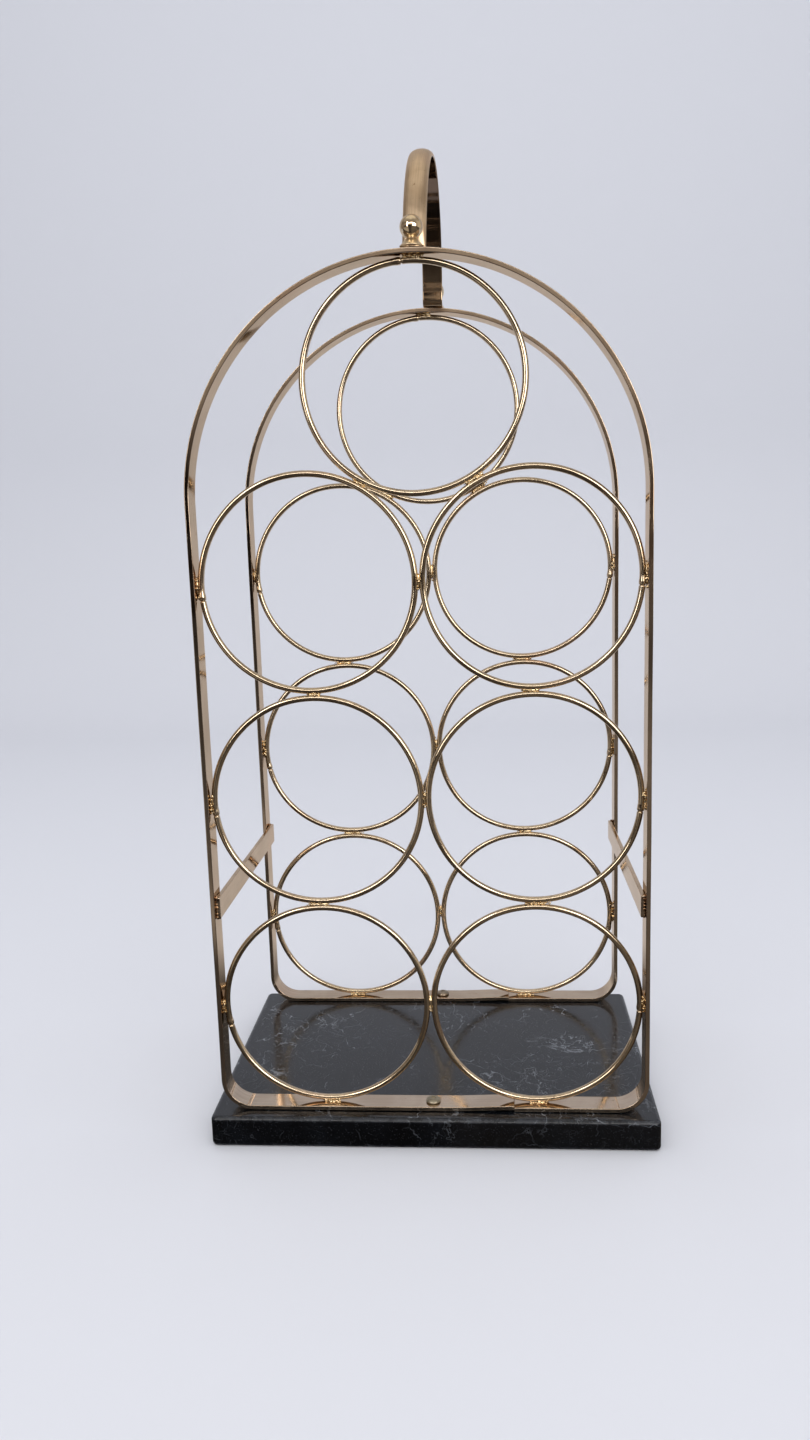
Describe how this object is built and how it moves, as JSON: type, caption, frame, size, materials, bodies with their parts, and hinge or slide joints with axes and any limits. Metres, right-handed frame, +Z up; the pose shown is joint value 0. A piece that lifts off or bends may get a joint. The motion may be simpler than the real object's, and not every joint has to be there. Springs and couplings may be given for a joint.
{
  "type": "wine rack",
  "caption": "Tabletop wine rack: two round-topped brass frames of wire rings that hold bottles lying down, joined by side bars, on a black marble base with a hooped carrying handle on top.",
  "frame": {"origin": "centre of the underside of the marble base", "axes": "+X to the right seen from the front, +Y to the rear, +Z up"},
  "size_m": [0.2286, 0.1524, 0.4946],
  "materials": {
    "brass": "satin antique brass plating",
    "screw_metal": "dull dark brass",
    "black_marble": "polished black marble with fine pale veins"
  },
  "bodies": {
    "root": {"marble_base": "black_marble", "front_arch": "brass", "front_ring_top": "brass", "front_ring_lower_left": "brass", "front_ring_lower_right": "brass", "front_ring_middle_left": "brass", "front_ring_middle_right": "brass", "front_ring_upper_left": "brass", "front_ring_upper_right": "brass", "front_base_screw": "screw_metal", "front_finial": "brass", "rear_arch": "brass", "rear_ring_top": "brass", "rear_ring_lower_left": "brass", "rear_ring_lower_right": "brass", "rear_ring_middle_left": "brass", "rear_ring_middle_right": "brass", "rear_ring_upper_left": "brass", "rear_ring_upper_right": "brass", "rear_base_screw": "screw_metal", "rear_finial": "brass", "left_stretcher": "brass", "right_stretcher": "brass", "carry_handle": "brass"}
  },
  "joints": []
}
